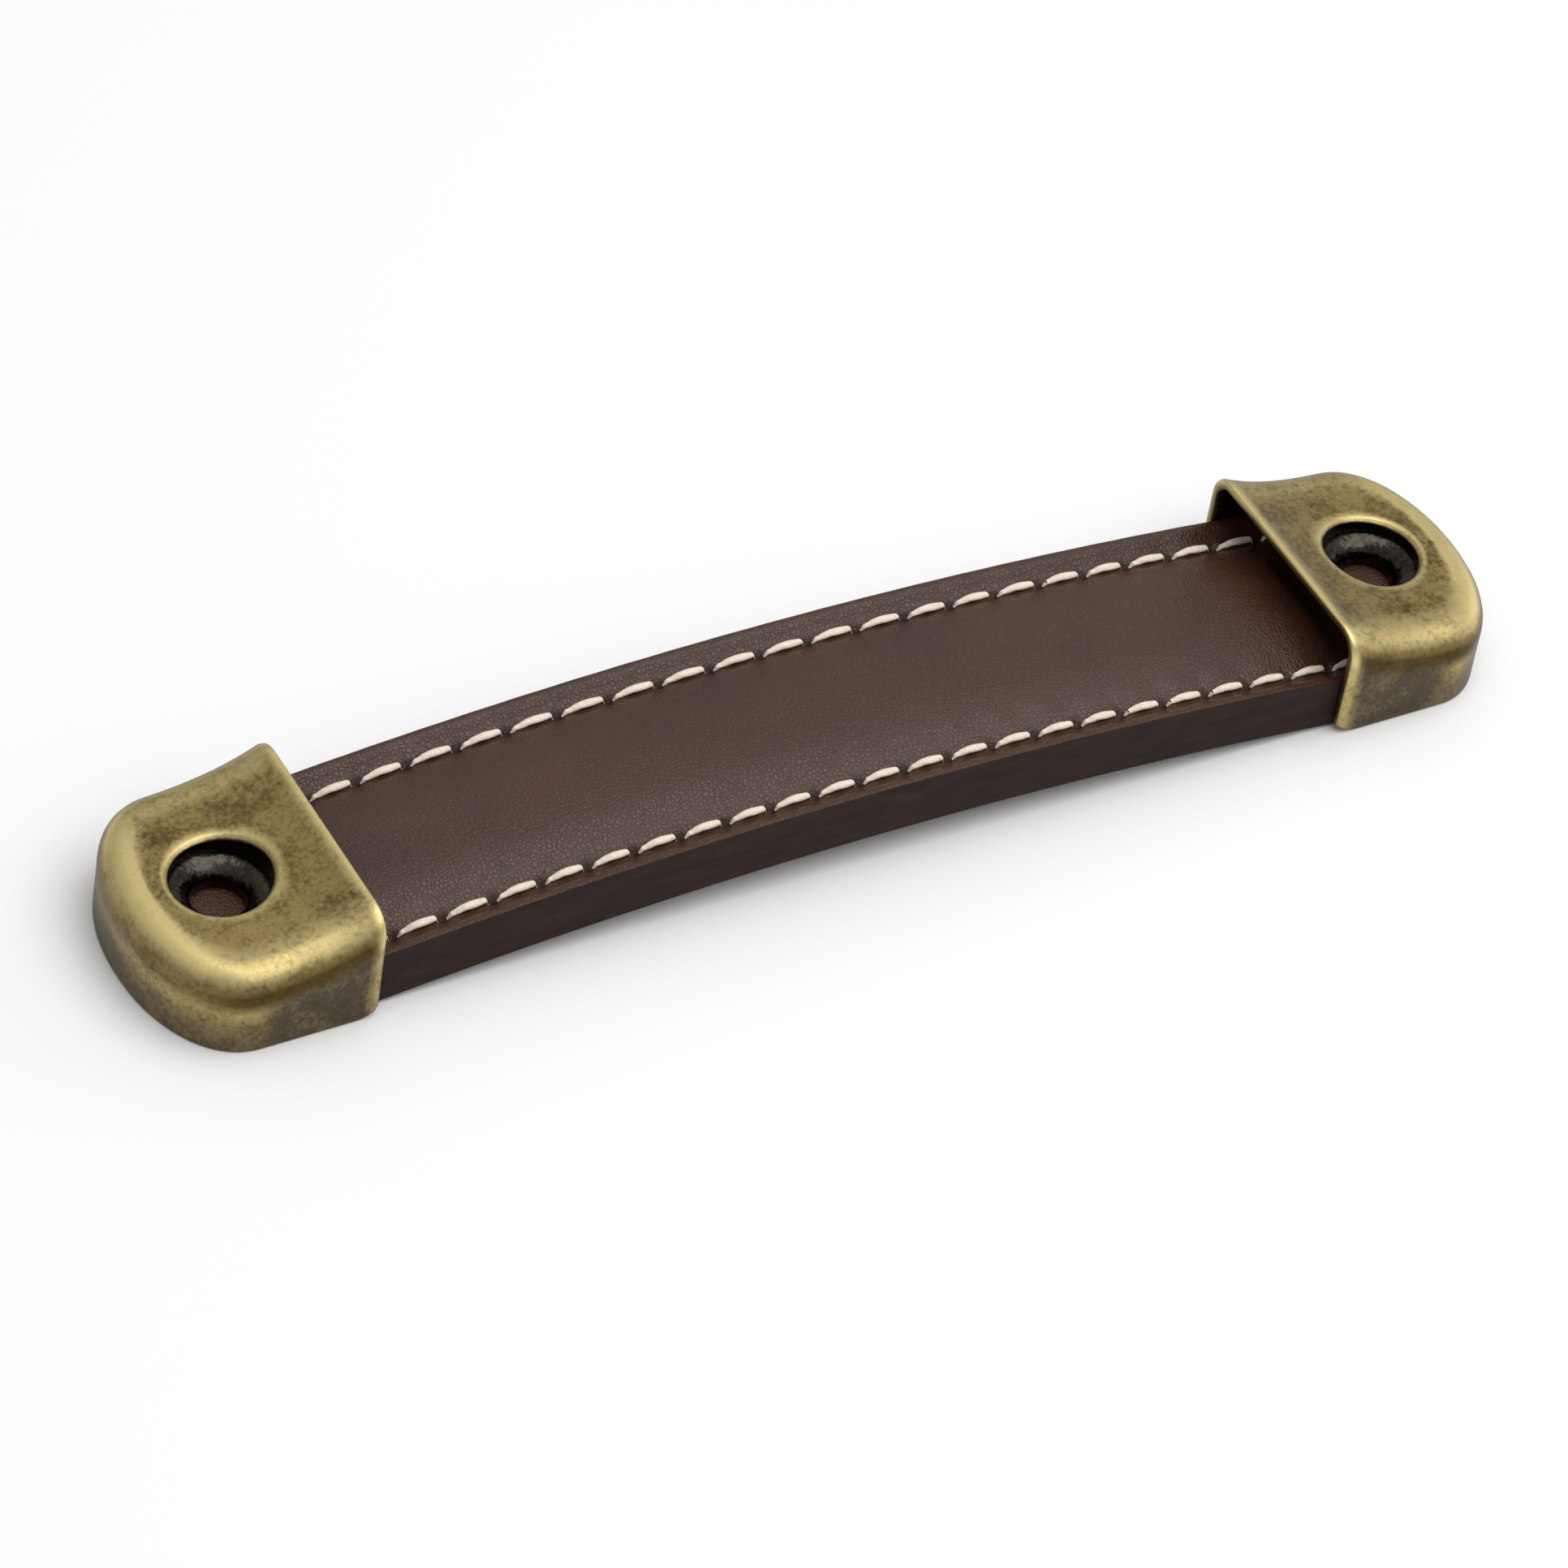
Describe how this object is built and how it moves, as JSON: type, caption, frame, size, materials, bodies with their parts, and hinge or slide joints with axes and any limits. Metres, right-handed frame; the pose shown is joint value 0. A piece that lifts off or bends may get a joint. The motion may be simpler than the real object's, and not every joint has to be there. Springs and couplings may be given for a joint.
{
  "type": "leather cabinet pull",
  "caption": "Padded leather pull strap with stitched edges, gently arched between two cast end caps with sunk screw holes.",
  "frame": {"origin": "middle of the pull's underside, on the plane of the face that it is fixed to", "axes": "+X along the pull from the left end cap to the right one, +Z away from the face that it is fixed to, -Y the pull's front edge"},
  "size_m": [0.1484, 0.0278, 0.0122],
  "materials": {
    "antique_brass": "aged, dark in the hollows and rubbed bright on the edges",
    "brown_leather": "fine grain with a soft sheen",
    "leather_board": "dense and dull",
    "lining": "dull",
    "padding": "soft foam",
    "cream_thread": "waxed twisted thread"
  },
  "bodies": {
    "root": {"left_end_cap": "antique_brass", "right_end_cap": "antique_brass", "top_leather": "brown_leather", "padding_strip": "padding", "core_board": "leather_board", "lining_leather": "lining", "front_top_thread": "cream_thread", "rear_top_thread": "cream_thread", "front_bottom_thread": "cream_thread", "rear_bottom_thread": "cream_thread"}
  },
  "joints": []
}
